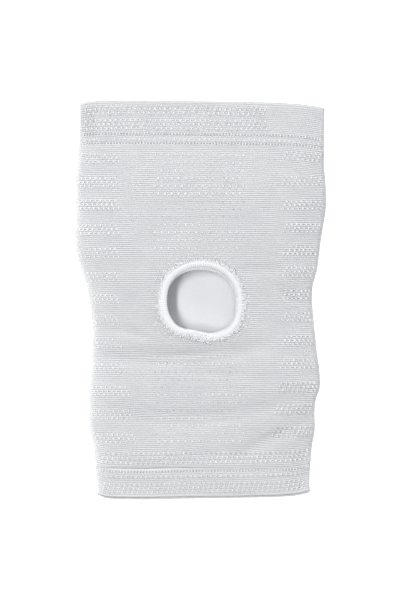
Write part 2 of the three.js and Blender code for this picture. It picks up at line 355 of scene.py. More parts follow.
def relief(points):
    """How far the cloth bulges between its stitches and round the bound hole."""
    x, y = points[..., 0], points[..., 1]
    side = ramp((abs(x) - side_start) / side_blend)
    swell = 0
    for left, right in zip(left_bands, right_bands):
        middle = np.where(x < 0, left, right)
        swell = swell + np.exp(-(((y - middle) / band_breadth) ** 2))
    turn = np.arctan2(y - hole_middle[1], x - hole_middle[0])
    away = np.maximum(past_hole(x, y), 0)
    gather = np.cos(puckers * turn + 3 * np.sin(2 * turn)) * np.exp(-away / pucker_reach)
    wave = np.sin(x / 0.011 + 2 * np.sin(y / 0.019)) * np.sin(y / 0.0072 + np.sin(x / 0.023))
    up = ramp(points[..., 2] / floor_clear - 0.5)
    bulge = band_swell * side * (swell - 1) + pucker_depth * (gather - 1)
    return (bulge + cloth_wave * (wave - 1)) * up


def wander(points):
    """The courses wander a little from their even spacing, in courses."""
    x, y = points[..., 0], points[..., 1]
    return (0.3 * np.sin(x / 0.021 + y / 0.0135)
            + 0.22 * np.sin(-x / 0.0125 + y / 0.0087 + 1)
            + 0.05 * np.sin(x / 0.0048 + y / 0.0061 + 2))


def put(name, data):
    """A new object in the scene."""
    made = bpy.data.objects.new(name, data)
    bpy.context.collection.objects.link(made)
    return made


def ring_mesh(name, rings, around, along, ribbed=None):
    """A closed surface of rings that join up in both directions, with a map of the knit, and
    one of how ribbed and how closely stitched it is."""
    rows, columns = rings.shape[:2]
    row, column = np.meshgrid(np.arange(rows), np.arange(columns), indexing="ij")
    next_row, next_column = (row + 1) % rows, (column + 1) % columns
    corners = np.stack(
        [row * columns + column, next_row * columns + column,
         next_row * columns + next_column, row * columns + next_column], axis=-1
    ).reshape(-1, 4)
    mesh = bpy.data.meshes.new(name)
    mesh.from_pydata(rings.reshape(-1, 3), [], corners.tolist())
    wale = np.stack([around[column], around[column], around[column + 1], around[column + 1]], axis=-1)
    course = np.stack([along[row], along[next_row], along[next_row], along[row]], axis=-1)
    mesh.uv_layers.new(name="knit")
    mesh.uv_layers["knit"].data.foreach_set("uv", np.stack([wale, course], axis=-1).ravel())
    if ribbed is not None:
        mesh.uv_layers.new(name="ribbed")
        shares = ribbed.reshape(-1, 2)[corners.ravel()]
        mesh.uv_layers["ribbed"].data.foreach_set("uv", shares.ravel())
    mesh.shade_smooth()
    return put(name, mesh)


def wale_numbers(rows):
    """The wale at each column of a row halfway along, with one more to close it."""
    middle = rows[len(rows) // 2]
    step = np.linalg.norm(np.roll(middle, -1, axis=0) - middle, axis=1)
    return np.concatenate([[0], np.cumsum(step)]) / wale_pitch


def knit_tube(name, course, sunk, wall, inner, panel, closeness):
    """A tube of knit. course numbers its outer rows, sunk is how far each lies inside the
    outline, inner picks the rows that its inner face is drawn by, panel is half the width of
    its panel of close stitches, and closeness is how close they are."""
    base = skin(course * course_pitch / length)
    square = outward(base)
    ends = np.minimum(course - course[0], course[-1] - course)[:, None]
    calm = ramp(ends / calm_courses)
    steep = square[..., 2]
    ribbed = np.where(steep > 0, ramp((steep - plain_side) / plain_blend), 1)
    depth = sunk[:, None] + rib_depth(course)[:, None] * ribbed * calm
    shaped = base + square * (relief(base) * calm - depth)[..., None]
    shaped[..., 1] += wander(base) * course_pitch * calm
    shaped[..., 2] = np.maximum(shaped[..., 2], 0)
    lining = base[inner] - square[inner] * wall[inner][:, None, None]
    rings = np.concatenate([shaped, lining[::-1]])
    numbers = np.concatenate([course, course[inner][::-1]])
    stitched = closeness * ramp((panel - abs(base[..., 0])) / panel_blend) * ribbed
    shares = np.stack([ribbed, stitched], axis=-1)
    shares = np.concatenate([shares, shares[inner][::-1]])
    return ring_mesh(name, rings, wale_numbers(base), numbers, shares)


first_course = -0.5 * length / course_pitch + calf_hem_depth / course_pitch
last_course = 0.5 * length / course_pitch - thigh_hem_depth / course_pitch
row_count = int(round((last_course - first_course) * rows_per_course))
course = first_course + np.arange(row_count + 1) / rows_per_course
ends = np.minimum(course - course[0], course[-1] - course) * course_pitch
sink = seam_dip(ends)
inner = np.unique(np.append(np.arange(0, row_count, inner_step), row_count))
wall = np.full(len(course), knit_wall)
sleeve_knit = knit_tube("sleeve_knit", course, sink, wall, inner, panel_half, closeness=0.5)

# The hole is cut through the back wall down the middle of where its binding will lie.
cut_sides = 160
turn = np.arange(cut_sides) / cut_sides * 2 * np.pi
edge = hole_edge(turn, cut_inset)
cutter_mesh = bpy.data.meshes.new("cutter")
low_ring = [(x, y, lining_top + leg_gap / 2) for x, y in edge]
high_ring = [(x, y, middle_top + leg_gap) for x, y in edge]
walls = [
    (i, (i + 1) % cut_sides, cut_sides + (i + 1) % cut_sides, cut_sides + i)
    for i in range(cut_sides)
]
lids = [tuple(range(cut_sides))[::-1], tuple(range(cut_sides, 2 * cut_sides))]
cutter_mesh.from_pydata(low_ring + high_ring, [], walls + lids)
cutter = put("cutter", cutter_mesh)


def settle(piece):
    """Makes the piece's modifiers part of its mesh."""
    evaluated = piece.evaluated_get(bpy.context.evaluated_depsgraph_get())
    settled = bpy.data.meshes.new_from_object(evaluated)
    piece.modifiers.clear()
    piece.data = settled


cut = sleeve_knit.modifiers.new("hole", "BOOLEAN")
cut.operation = "DIFFERENCE"
cut.solver = "MANIFOLD"
cut.object = cutter
settle(sleeve_knit)
bpy.data.objects.remove(cutter)


class Wire:
    """The output of a node, to be added and multiplied like a number."""

    def __init__(self, tree, socket):
        self.tree, self.socket = tree, socket

    def math(self, operation, *values):
        return self.tree.node("ShaderNodeMath", {"operation": operation}, dict(enumerate(values)))

    def __add__(self, other):
        return self.math("ADD", self, other)

    def __sub__(self, other):
        return self.math("SUBTRACT", self, other)

    def __rsub__(self, other):
        return self.math("SUBTRACT", other, self)

    def __mul__(self, other):
        return self.math("MULTIPLY", self, other)

    __radd__ = __add__
    __rmul__ = __mul__

    def wave(self):
        """From 0 to 1 and back for each whole step, highest at whole numbers."""
        return self.math("COSINE", self * (2 * np.pi)) * 0.5 + 0.5


class Tree:
    """A node tree that is built one node at a time."""

    def __init__(self, tree):
        self.tree = tree
        tree.nodes.clear()

    def node(self, kind, settings=None, sockets=None, output=0):
        made = self.tree.nodes.new(kind)
        for name, value in (settings or {}).items():
            if name == "stops":
                while len(made.color_ramp.elements) < len(value):
                    made.color_ramp.elements.new(0.5)
                for stop, (place, grey) in zip(made.color_ramp.elements, value):
                    stop.position = place
                    stop.color = (grey, grey, grey, 1)
            else:
                setattr(made, name, value)
        for key, value in (sockets or {}).items():
            if isinstance(value, Wire):
                self.tree.links.new(value.socket, made.inputs[key])
            else:
                made.inputs[key].default_value = value
        return Wire(self, made.outputs[output]) if made.outputs else None


def knit_map(tree, name="knit"):
    return tree.node("ShaderNodeUVMap", {"uv_map": name})


def spot(tree):
    """Where a point lies on its own object."""
    return tree.node("ShaderNodeTexCoord", output=3)


def parts(tree, place):
    """The first two coordinates of a place."""
    return [tree.node("ShaderNodeSeparateXYZ", {}, {0: place}, output=i) for i in (0, 1)]


def noise(tree, place, scale, detail=2):
    return tree.node("ShaderNodeTexNoise", {}, {"Vector": place, "Scale": scale, "Detail": detail})


def mix(tree, share, first, second):
    """A colour between two others."""
    settings = {"data_type": "RGBA"}
    return tree.node("ShaderNodeMix", settings, {0: share, 6: first, 7: second}, output=2)


def stretched(tree, place, scale):
    """A place, scaled by a different number each way."""
    settings = {"operation": "MULTIPLY"}
    return tree.node("ShaderNodeVectorMath", settings, {0: place, 1: scale})


def cloth(name, colour, roughness, height, distance, sheen=0.15):
    """Finishes a material as matt cloth. colour and height are made by functions of its tree."""
    material = bpy.data.materials.new(name)
    material.use_nodes = True
    tree = Tree(material.node_tree)
    bump = tree.node("ShaderNodeBump", {}, {"Distance": distance, "Height": height(tree)})
    surface = tree.node(
        "ShaderNodeBsdfPrincipled", {},
        {"Base Color": colour(tree), "Roughness": roughness, "Normal": bump,
         "Sheen Weight": sheen, "Sheen Roughness": 0.6, "Specular IOR Level": 0.25},
    )
    tree.node("ShaderNodeOutputMaterial", {}, {"Surface": surface})
    return material


knit_ridge = (0.88, 0.885, 0.895, 1)
# The furrow colour is painted shade.
painted_furrow_shade = (0.5, 0.51, 0.53, 1)
knit_soiled = (0.74, 0.745, 0.74, 1)
stitch_share = 0.32
streak_share = 0.32
fibre_share = 0.14
# The painted shade of the plain sides at the middle line, and its change to a metre, deeper towards
# the right.
side_painted_shade = 0.42
side_painted_shade_slope = 4.5
# Painted light: the knit is made lighter towards the calf, whose slope faces away from the top light.
calf_painted_light = 1.5


def knit_colour(tree):
    """White yarn, with painted shade in the furrows between the courses and, in the close-stitched
    panel, between the stitch heads, and a little uneven. The plain sides have painted shade that
    deepens towards the right, and painted light makes the knit lighter towards the calf."""
    place = knit_map(tree)
    wale, course = parts(tree, place)
    streak = noise(tree, stretched(tree, place, (0.16, 1.0, 1)), 1.0, 3)
    patch = noise(tree, spot(tree), 45, 3)
    fibre = noise(tree, stretched(tree, place, (2.5, 6, 1)), 2.0, 2)
    # Painted shade: the colour darkens in the furrows between the courses and between the stitch
    # heads.
    ridge = course.wave()
    nearest_course = course.math("FLOOR", course + 0.5)
    stitch = (wale + 0.5 * nearest_course).wave()
    ribbed, stitched = parts(tree, knit_map(tree, "ribbed"))
    close = ridge * (1 - stitch_share) + stitch * stitch_share
    height = ridge + (close - ridge) * stitched
    height = height + (streak - 0.5) * streak_share + (fibre - 0.5) * fibre_share
    across, along = parts(tree, spot(tree))
    # Painted shade on the plain sides, deeper towards the right.
    side = side_painted_shade - side_painted_shade_slope * across
    # The last term is painted light that lightens the knit towards the calf.
    height = side + (height - side) * ribbed - calf_painted_light * along.math("MINIMUM", along, 0)
    yarn = mix(tree, height.math("SMOOTH_MIN", height, 1.0, 0.1), painted_furrow_shade, knit_ridge)
    worn = tree.node("ShaderNodeValToRGB", {"stops": [(0.42, 0), (0.7, 1)]}, {0: patch})
    return mix(tree, worn * 0.35, yarn, knit_soiled)


def knit_height(tree):
    """The heads of the stitches along each course, and the fuzz of the yarn."""
    place = knit_map(tree)
    wale, course = parts(tree, place)
    fibre = noise(tree, stretched(tree, place, (3, 7, 1)), 2.0, 3)
    return course.wave() * (0.86 + 0.14 * (wale + 0.5 * course).wave()) + fibre * 0.35


knit_finish = cloth("knit", knit_colour, 0.9, knit_height, 0.00022)


def dress(piece, finish, slot, *nodes):
    """Gives a piece its material and its place in the frame."""
    piece.data.materials.clear()
    piece.data.materials.append(finish)
    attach(piece, "root")
    if nodes:
        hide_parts(*nodes)


dress(sleeve_knit, knit_finish, "knit", "sleeve")

# Each end of the tube is turned in and sewn down, so the hem is a double layer of the same knit
# from its seam to the folded edge of the mouth.

fold_steps = 6
fold_share = 0.97


def hem(name, sign, depth):
    """A double layer from the seam to the mouth, where it turns round a folded edge."""
    radius = hem_wall / 2
    rows = int(round((depth - radius) / course_pitch * rows_per_course))
    inward = depth - np.arange(rows + 1) / rows_per_course * course_pitch
    sunk = seam_dip(depth - inward)
    turn = np.linspace(0, fold_share, fold_steps) * np.pi / 2
    inward = np.concatenate([inward, radius * (1 - np.sin(turn))])
    sunk = np.concatenate([sunk, radius * (1 - np.cos(turn))])
    wall = np.concatenate([np.full(rows + 1, hem_wall), hem_wall - sunk[rows + 1:]])
    course = sign * (0.5 * length - inward) / course_pitch
    inner = np.unique(np.append(np.arange(0, rows, inner_step), np.arange(rows, len(course))))
    if sign < 0:
        course, sunk, wall = course[::-1], sunk[::-1], wall[::-1]
        inner = (len(course) - 1 - inner)[::-1]
    return knit_tube(name, course, sunk, wall, inner, thigh_width, closeness=0.9)


thigh_hem = hem("thigh_hem_knit", 1, thigh_hem_depth)
calf_hem = hem("calf_hem_knit", -1, calf_hem_depth)
for piece, node, depth in [
    (thigh_hem, "thigh_hem", thigh_hem_depth),
    (calf_hem, "calf_hem", calf_hem_depth),
]:
    dress(piece, knit_finish, "knit", node)

# Tuck stitches stand on the knit as small bright knots, in bands at the sides and rows in the
# middle, with an eyelet beside some, drawn as a bead of painted shade. Rows of them also cross the
# hems and sew their seams, with beads of painted shade in the gaps between the seam's ticks.

knot_segments = 6
knot_rings = 4


def stitch_tree():
    """Geometry Nodes that set one small bead of yarn on each point, turned and sized by it."""
    group = bpy.data.node_groups.new("stitches", "GeometryNodeTree")
    for name, kind in [
        ("Points", "NodeSocketGeometry"),
        ("Unevenness", "NodeSocketFloat"),
        ("Seed", "NodeSocketInt"),
        ("Yarn", "NodeSocketMaterial"),
    ]:
        group.interface.new_socket(name, in_out="INPUT", socket_type=kind)
    group.interface.new_socket("Stitches", in_out="OUTPUT", socket_type="NodeSocketGeometry")
    tree = Tree(group)

    def given(index):
        return tree.node("NodeGroupInput", output=index)

    def stored(name):
        return tree.node("GeometryNodeInputNamedAttribute", {"data_type": "FLOAT_VECTOR"},
                         {"Name": name})

    bead = tree.node("GeometryNodeMeshUVSphere", {},
                     {"Segments": knot_segments, "Rings": knot_rings, "Radius": 1.0})
    bead = tree.node("GeometryNodeSetShadeSmooth", {}, {"Geometry": bead})
    uneven = tree.node("FunctionNodeRandomValue", {"data_type": "FLOAT"},
                       {2: 1 - given(1), 3: 1 + given(1), "Seed": given(2)}, output=1)
    size = tree.node("ShaderNodeVectorMath", {"operation": "SCALE"},
                     {0: stored("size"), "Scale": uneven})
    turn = tree.node("FunctionNodeEulerToRotation", {}, {0: stored("turn")})
    placed = tree.node("GeometryNodeInstanceOnPoints", {},
                       {"Points": given(0), "Instance": bead, "Rotation": turn, "Scale": size})
    made = tree.node("GeometryNodeRealizeInstances", {}, {"Geometry": placed})
    made = tree.node("GeometryNodeSetMaterial", {}, {"Geometry": made, "Material": given(3)})
    tree.node("NodeGroupOutput", {}, {0: made})
    return group


stitches = stitch_tree()
chart_rows = 1200
chart_skin = skin(np.linspace(-0.5, 0.5, chart_rows + 1))
chart_square = outward(chart_skin)
# The columns from the widest place on the right, over the back, to the one on the left.
steps = [count for part, count in stretches]
first_top, last_top = sum(steps[:2]), sum(steps[:5]) + 1
chart_top = chart_skin[:, first_top:last_top][:, ::-1]
chart_up = chart_square[:, first_top:last_top][:, ::-1]
chart_step = np.linalg.norm(np.diff(chart_top, axis=1), axis=2)
chart_arc = np.concatenate([np.zeros((chart_rows + 1, 1)), np.cumsum(chart_step, axis=1)], axis=1)
for line, arc in zip(chart_top, chart_arc):
    arc -= np.interp(0, line[:, 0], arc)


def chart_row(along):
    return int(np.clip(round((along / length + 0.5) * chart_rows), 0, chart_rows))


def arc_at(along, x):
    """How far a place across the knit is from the middle line, measured on the cloth."""
    i = chart_row(along)
    return np.interp(x, chart_top[i, :, 0], chart_arc[i])


def on_knit(along, arc):
    """The places on the top of the cloth, and the directions square to it."""
    places, squares = [], []
    for i, across in zip(map(chart_row, along), arc):
        places.append([np.interp(across, chart_arc[i], chart_top[i, :, k]) for k in range(3)])
        squares.append([np.interp(across, chart_arc[i], chart_up[i, :, k]) for k in range(3)])
    return np.array(places), np.array(squares)


def turned(square, slant):
    """Euler angles that stand z on the cloth and slant y away from the leg's length."""
    along = np.stack([np.sin(slant), np.cos(slant), np.zeros_like(slant)], axis=1)
    y = unit(along - square * (along * square).sum(1, keepdims=True))
    x = np.cross(y, square)
    return np.stack(
        [np.arctan2(y[:, 2], square[:, 2]), -np.arcsin(x[:, 2]), np.arctan2(x[:, 1], x[:, 0])],
        axis=1,
    )


def sew(name, chart, finish, unevenness, seed):
    """One plain mesh of charted stitches, each with its place along and across the cloth, its
    slant, half its width, half its length, its thickness and its rise."""
    rows = np.array(chart)
    place, square = on_knit(rows[:, 0], rows[:, 1])
    mesh = bpy.data.meshes.new(name)
    mesh.from_pydata(place + square * rows[:, 6:7], [], [])
    for key, values in [("turn", turned(square, rows[:, 2])), ("size", rows[:, 3:6])]:
        mesh.attributes.new(key, "FLOAT_VECTOR", "POINT").data.foreach_set("vector", values.ravel())
    piece = put(name, mesh)
    modifier = piece.modifiers.new("stitches", "NODES")
    modifier.node_group = stitches
    wanted = {"Unevenness": unevenness, "Seed": seed, "Yarn": finish}
    for socket in stitches.interface.items_tree:
        if socket.name in wanted:
            modifier[socket.identifier] = wanted[socket.name]
    settle(piece)
    return piece


knot = (0.00062, 0.00056, 0.0004, 0.0001)
small_knot = (0.00047, 0.00042, 0.0003, 0.0001)
stroke = (0.00044, 0.0008, 0.0004, 0.0001)
eyelet = (0.00042, 0.0003, 0.00016, -0.0001)
tick = (0.00038, 0.0007, 0.0004, 0.0001)
gap = (0.0003, 0.0006, 0.00018, -0.0001)
knots, eyelets = [], []
tuck_pitch = 0.003
tuck_row = 0.00225
tuck_shift = 0.0011
side_limit = 0.0062
# An eyelet lies this far below its stitch, in a band as far beyond it, and in a hem this far to
# its right.
eyelet_drop = 0.0011
eyelet_lead = 0.0012
band_slant = 0.5
hem_slant = 0.75
seam_slant = 0.35


def band(middle, sign, inner_edge, open_work):
    """Three rows of tucks, each set over from the last, out to the folded side. Some bands
    have eyelets between them, drawn as beads of painted shade."""
    for step in (1, 0, -1):
        along = middle + step * tuck_row
        i = chart_row(along)
        start = abs(arc_at(along, sign * inner_edge)) + (step - 1) * tuck_shift
        stop = abs(chart_arc[i, 0 if sign < 0 else -1]) - side_limit
        for arc in sign * np.arange(start + tuck_shift, stop, tuck_pitch):
            knots.append((along, arc, sign * band_slant, *knot))
            if open_work:
                eyelets.append((along - eyelet_drop, arc + sign * eyelet_drop, 0, *eyelet))


# The bands widen towards the calf. One at the left and the last ones at the right are open work.
for left, right in zip(left_bands, right_bands):
    band(left, -1, 0.0499 - 0.15 * max(-0.015 - left, 0), left == left_bands[2])
    band(right, 1, 0.0509 - 0.12 * max(-0.025 - right, 0), right < -0.045)

middle_pitch = 0.00408
middle_row = 0.00465
middle_first = 0.0871
middle_half = 0.027
middle_rows = 38
knots_clear = 0.0016
eyelets_clear = 0.006
bright_rows = {0, 3, 4, 5, 10, 11, 12, 21, 22, 27, 31, 35, 37}
# The dark rows are eyelets, drawn as beads of painted shade.
dark_rows = {6, 7, 8, 24, 25, 28, 29, 30}
for k in range(middle_rows):
    along = middle_first - k * middle_row
    start = -middle_half + (k % 2) * middle_pitch / 2
    for arc in np.arange(start, middle_half, middle_pitch):
        if past_hole(arc, along) < knots_clear:
            continue
        if k in dark_rows:
            if past_hole(arc, along) > eyelets_clear:
                eyelets.append((along, arc, 0, *eyelet))
        else:
            knots.append((along, arc, 0, *(knot if k in bright_rows else small_knot)))


def hem_row(chart, along, pitch, shift, slant, size, stop=1):
    """A row of like stitches across the top of a hem, as far to the right as stop."""
    arcs = chart_arc[chart_row(along)]
    last = min(arcs[-1] - side_limit, stop)
    for arc in np.arange(arcs[0] + side_limit + shift, last, pitch):
        chart.append((along, arc, slant, *size))


seam_pitch = 0.00186
# The rows of the thigh hem beyond its seam stop this far to the right, with half the eyelets.
thigh_rows_from = 0.1
thigh_rows_stop = 0.04
for along, shift, size in [
    (0.1166, 0.0010, small_knot),
    (0.1147, 0.0004, knot),
    (0.1124, 0.0028, knot),
    (0.1079, 0.0012, knot),
    (0.1055, 0.0004, knot),
    (0.1033, 0.0022, knot),
    (0.0966, 0.0016, small_knot),
    (-0.0921, 0.0016, knot),
    (-0.0950, 0.0006, knot),
    (-0.0975, 0.0024, knot),
    (-0.1062, 0.0010, stroke),
    (-0.1106, 0.0022, stroke),
    (-0.1130, 0.0012, stroke),
    (-0.1152, 0.0002, stroke),
]:
    stop = thigh_rows_stop if along > thigh_rows_from else 1
    hem_row(knots, along, tuck_pitch, shift, hem_slant, size, stop)
    eyelet_pitch = tuck_pitch * (2 if along > thigh_rows_from else 1)
    hem_row(eyelets, along - eyelet_drop, eyelet_pitch, shift + eyelet_lead, 0, eyelet, stop)
for along in (0.0998, 0.0942, -0.1032):
    hem_row(knots, along, seam_pitch, 0, seam_slant, tick)
    # The seam's gaps between its ticks are beads of painted shade.
    hem_row(eyelets, along, seam_pitch, seam_pitch / 2, seam_slant, gap)

# The left end of the thigh hem is knitted more openly, its holes drawn as beads of painted shade.
open_row = 0.0014
open_pitch = 0.0017
open_start = 0.0035
open_width = 0.009
for along in np.arange(0.1005, 0.117, open_row):
    first = chart_arc[chart_row(along), 0] + open_start
    for arc in np.arange(first, first + open_width, open_pitch):
        eyelets.append((along, arc, 0, *eyelet))

# Loose tucks stand all round the bound hole, where its stitching draws the knit together.
gathers = 64
gather_rng = np.random.default_rng(6)
for turn in np.arange(gathers) / gathers * 2 * np.pi + gather_rng.uniform(-0.03, 0.03, gathers):
    x, y = hole_edge(turn, hole_measure("wide", turn) + gather_rng.uniform(0.0018, 0.0052))
    knots.append((y, x, turn, *small_knot))


def plain(colour):
    return lambda tree: mix(
        tree, noise(tree, spot(tree), 900), colour,
        tuple(0.9 * c for c in colour[:3]) + (1,),
    )


def fuzz(tree):
    return noise(tree, spot(tree), 2600, 3)


knot_finish = cloth("knot_yarn", plain((0.95, 0.955, 0.96, 1)), 0.8, fuzz, 0.0001)
# The eyelets and the seam's gaps are dark beads whose colour is painted shade, where the knit's holes
# lie in shade.
eyelet_painted_shade_finish = cloth("eyelet_painted_shade", plain((0.56, 0.565, 0.575, 1)), 0.95, fuzz, 0.0001)
knit_knots = sew("knit_knots", knots, knot_finish, 0.18, 4)
knit_eyelet_painted_shade = sew("knit_eyelet_painted_shade", eyelets, eyelet_painted_shade_finish, 0.25, 7)
dress(knit_knots, knot_finish, "knit")
dress(knit_eyelet_painted_shade, eyelet_painted_shade_finish, "knit")

# The cut edge of the hole is overlocked: bright thread is wrapped over it in close slanting
# turns, and the loops of that thread fan out over the knit around it.

binding_height = 0.0044
wraps = 124
steps_per_wrap = 4
binding_sides = 16
wrap_relief = 0.0002
# The part of a wrap that lies on the knit beyond the ring, as a share of its width.
wrap_skirt = 0.3
lump_turn = -0.47 * np.pi
lump_spread = 0.17
lump_swell = 0.28

ring_turn = np.arange(wraps * steps_per_wrap) / (wraps * steps_per_wrap) * 2 * np.pi
ring_width = hole_measure("wide", ring_turn) * (1 + wrap_skirt)
ring_middle = hole_edge(ring_turn, ring_width / 2)
ring_out = unit(hole_edge(ring_turn, ring_width) - hole_edge(ring_turn, 0))
ring_section = section_at(ring_middle[:, 1] / length)
ring_top = (back_height(ring_middle[:, 0], ring_middle[:, 1], ring_section)
            - fold_depth(ring_middle[:, 0], ring_middle[:, 1]) - knit_wall / 2)


def beside_hole(middle, radial, lift):
    """Rings of points round a line beside the hole, each so far out from it and above it."""
    x = middle[:, 0:1] + ring_out[:, 0:1] * radial
    y = middle[:, 1:2] + ring_out[:, 1:2] * radial
    return np.stack([x, y, ring_top[:, None] + lift], axis=-1)


swell = 1 + lump_swell * np.exp(-((round_from(ring_turn, lump_turn) / lump_spread) ** 2))
tension = np.random.default_rng(3).uniform(0.4, 1, wraps).repeat(steps_per_wrap)
angle = np.arange(binding_sides + 1) / binding_sides * 2 * np.pi
slanted = wraps * ring_turn[:, None] + 1.3 * np.sin(angle[None, :-1])
thread = wrap_relief * tension[:, None] * (np.cos(slanted) - 1) / 2
outer_side = (1 + np.cos(angle[:-1])) / 2
spread = 1 + 0.25 * (tension[:, None] - 0.7) * outer_side ** 3
radial = (ring_width[:, None] / 2 + thread) * np.cos(angle[:-1]) * spread
lift = (binding_height / 2 * swell[:, None] + thread) * np.sin(angle[:-1])
lift = lift * (1 - 0.5 * outer_side ** 2 - 0.5 * (1 - outer_side) ** 2)
rings = beside_hole(ring_middle, radial, lift)
wrap_number = np.arange(len(ring_turn)) / steps_per_wrap
binding = ring_mesh("overlocked_edge", rings, angle / 2, wrap_number)


def thread_colour(tree):
    place = knit_map(tree)
    around, wrap = parts(tree, place)
    uneven = noise(tree, stretched(tree, place, (0.3, 1, 1)), 1.5)
    # Painted shade: the thread darkens between its wraps, and the noise is uneven tone.
    ridge = (wrap + around.math("SINE", around * 2) * 0.2).wave()
    return mix(tree, ridge * 0.8 + uneven * 0.4, (0.73, 0.745, 0.76, 1), (0.93, 0.945, 0.955, 1))


def thread_height(tree):
    return noise(tree, stretched(tree, knit_map(tree), (1.5, 6, 1)), 2, 3)


thread_finish = cloth("overlock_thread", thread_colour, 0.7, thread_height, 0.0001, 0.25)
dress(binding, thread_finish, "binding_thread", "hole_binding")

# The fanned ends of the overlock thread, lying on the knit all round the ring.
fans = 260
fan_half = 0.00026
fan_thick = 0.0003
fan_rise = 0.0004
fan_rng = np.random.default_rng(11)
fan_turn = (np.arange(fans) + fan_rng.uniform(-0.3, 0.3, fans)) / fans * 2 * np.pi
fan_long = fan_rng.uniform(0.0014, 0.004, fans)
fan_width = hole_measure("wide", fan_turn)
fan_root = hole_edge(fan_turn, fan_width * 0.9)
fan_way = unit(hole_edge(fan_turn, fan_width + 0.001) - hole_edge(fan_turn, fan_width))
fan_place = fan_root + fan_way * fan_long[:, None] / 2
fan_slant = np.arctan2(fan_way[:, 0], fan_way[:, 1]) + fan_rng.uniform(-0.35, 0.35, fans)
fan_chart = np.stack(
    [fan_place[:, 1], fan_place[:, 0], fan_slant, np.full(fans, fan_half), fan_long / 2,
     np.full(fans, fan_thick), np.full(fans, fan_rise)], axis=1,
)
fan_finish = cloth("loose_thread", plain((0.93, 0.94, 0.955, 1)), 0.75, fuzz, 0.00005)
fan = sew("overlock_ends", fan_chart, fan_finish, 0.1, 5)
dress(fan, fan_finish, "binding_thread")

# The inner side of the binding turns under and shows as a low pale lip at the top and right, its
# thread greyed as painted shade.
lip_shape = table(
    "at reach",
    (-180, -0.8),
    (-100, -0.6),
    (-80, 0.2),
    (-60, 1.0),
    (-30, 0.7),
    (0, 1.4),
    (45, 1.9),
    (90, 2.1),
    (120, 1.2),
    (150, 0.3),
    (180, -0.8),
)
lip_radius = 0.0014
lip_height = 0.0015
lip_drop = 0.0014
lip_sides = 12
lip_angle = np.arange(lip_sides + 1) / lip_sides * 2 * np.pi
lip_reach = follow(lip_shape, "reach", np.degrees(round_from(ring_turn, 0))) / 1000
lip_middle = hole_edge(ring_turn, lip_radius - lip_reach)
lip_thread = 1 - 0.13 * (1 - np.cos(wraps * ring_turn[:, None]))
lip_radial = lip_radius * np.cos(lip_angle[:-1]) * lip_thread
lip_lift = lip_height * np.sin(lip_angle[:-1]) * lip_thread - lip_drop
lip_rings = beside_hole(lip_middle, lip_radial, lip_lift)
lip = ring_mesh("hole_lip", lip_rings, lip_angle / 2, wrap_number)
# The lip's thread is coloured greyer than the binding's, as painted shade on the turned-under side.
lip_painted_shade_finish = cloth("lip_thread", plain((0.77, 0.785, 0.8, 1)), 0.8, thread_height, 0.0001)
dress(lip, lip_painted_shade_finish, "binding_thread")

# Where the overlock thread starts and ends it is knotted, and its tail crosses the join.
tail_from, tail_to = np.array([-0.0072, -0.0192]), np.array([0.0034, -0.0212])
tail_way = tail_to - tail_from
tail_beads = 9
join_beads = 30
join_chart = []
for share in np.linspace(0, 1, tail_beads):
    x, y = tail_from + tail_way * share
    slant = np.arctan2(tail_way[0], tail_way[1])
    join_chart.append((y, x, slant, 0.0006 - 0.0003 * share, 0.0011, 0.0005, 0.0013))
join_rng = np.random.default_rng(8)
for bead in range(join_beads):
    x, y = join_rng.uniform((-0.0034, -0.0246), (0.0075, -0.0212))
    rise = join_rng.uniform(0.0008, 0.0015)
    join_chart.append((y, x, join_rng.uniform(-1.2, 1.2), 0.0004, 0.0008, 0.0005, rise))
join = sew("overlock_join", join_chart, fan_finish, 0.15, 9)
dress(join, fan_finish, "binding_thread")

# The pad is a moulded block of foam inside the front wall, domed above and flat below.

pad_wide = 0.106
pad_high = 0.148
pad_thick = 0.012
pad_rim = 0.0035
pad_squareness = 2.6
pad_floor = 0.0021


def pad_ring(share, grown, z, spokes):
    turn = np.arange(spokes) / spokes * 2 * np.pi
    way = np.stack([np.cos(turn), np.sin(turn)], axis=1)
    reach = np.array([pad_wide, pad_high]) / 2 + grown
    flat = share * reach * np.sign(way) * abs(way) ** (2 / pad_squareness)
    return np.column_stack([flat, np.full(spokes, z)])


def dome(grown, height, rim, spokes, steps):
    """Rings of the domed top, from its middle to its rim."""
    shares = np.sin(np.linspace(0.02, 1, steps) * np.pi / 2)
    return [
        pad_ring(share, grown, pad_floor + rim + (height - rim) * (1 - share ** 4) ** 0.6, spokes)
        for share in shares
    ]


def lidded(name, rings):
    """A closed body of rings, with its two ends filled."""
    count, spokes = len(rings), len(rings[0])
    faces = [
        (i * spokes + j, (i + 1) * spokes + j, (i + 1) * spokes + (j + 1) % spokes,
         i * spokes + (j + 1) % spokes)
        for i in range(count - 1) for j in range(spokes)
    ]
    faces += [tuple(range(spokes)), tuple(range((count - 1) * spokes, count * spokes))[::-1]]
    mesh = bpy.data.meshes.new(name)
    mesh.from_pydata(np.concatenate(rings).tolist(), [], faces)
    mesh.shade_smooth()
    return put(name, mesh)


